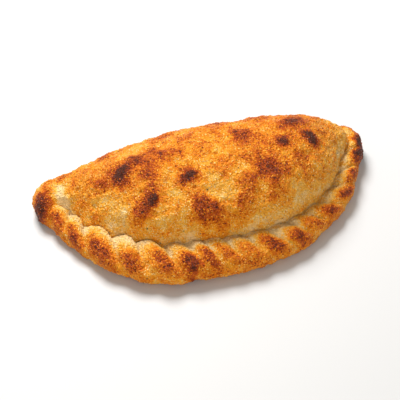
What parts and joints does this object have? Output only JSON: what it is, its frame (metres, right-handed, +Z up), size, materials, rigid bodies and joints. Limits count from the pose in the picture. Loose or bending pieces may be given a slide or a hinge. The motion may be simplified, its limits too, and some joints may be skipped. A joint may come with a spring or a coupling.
{
  "type": "calzone",
  "caption": "Baked calzone: a half-moon of golden pizza dough folded over its filling, with a rope-crimped edge along the front.",
  "frame": {"origin": "on the surface it rests on, under the middle of the calzone's box", "axes": "+X from the left nose to the right nose, -Y towards the crimped edge, +Y towards the fold, +Z up"},
  "size_m": [0.262, 0.127, 0.057],
  "materials": {
    "baked_crust": "baked dough crust, matt with a fine flour grain: cream in the creases, golden to toasted brown on top, charred at the two noses"
  },
  "bodies": {
    "root": {"calzone_crust": "baked_crust"}
  },
  "joints": []
}
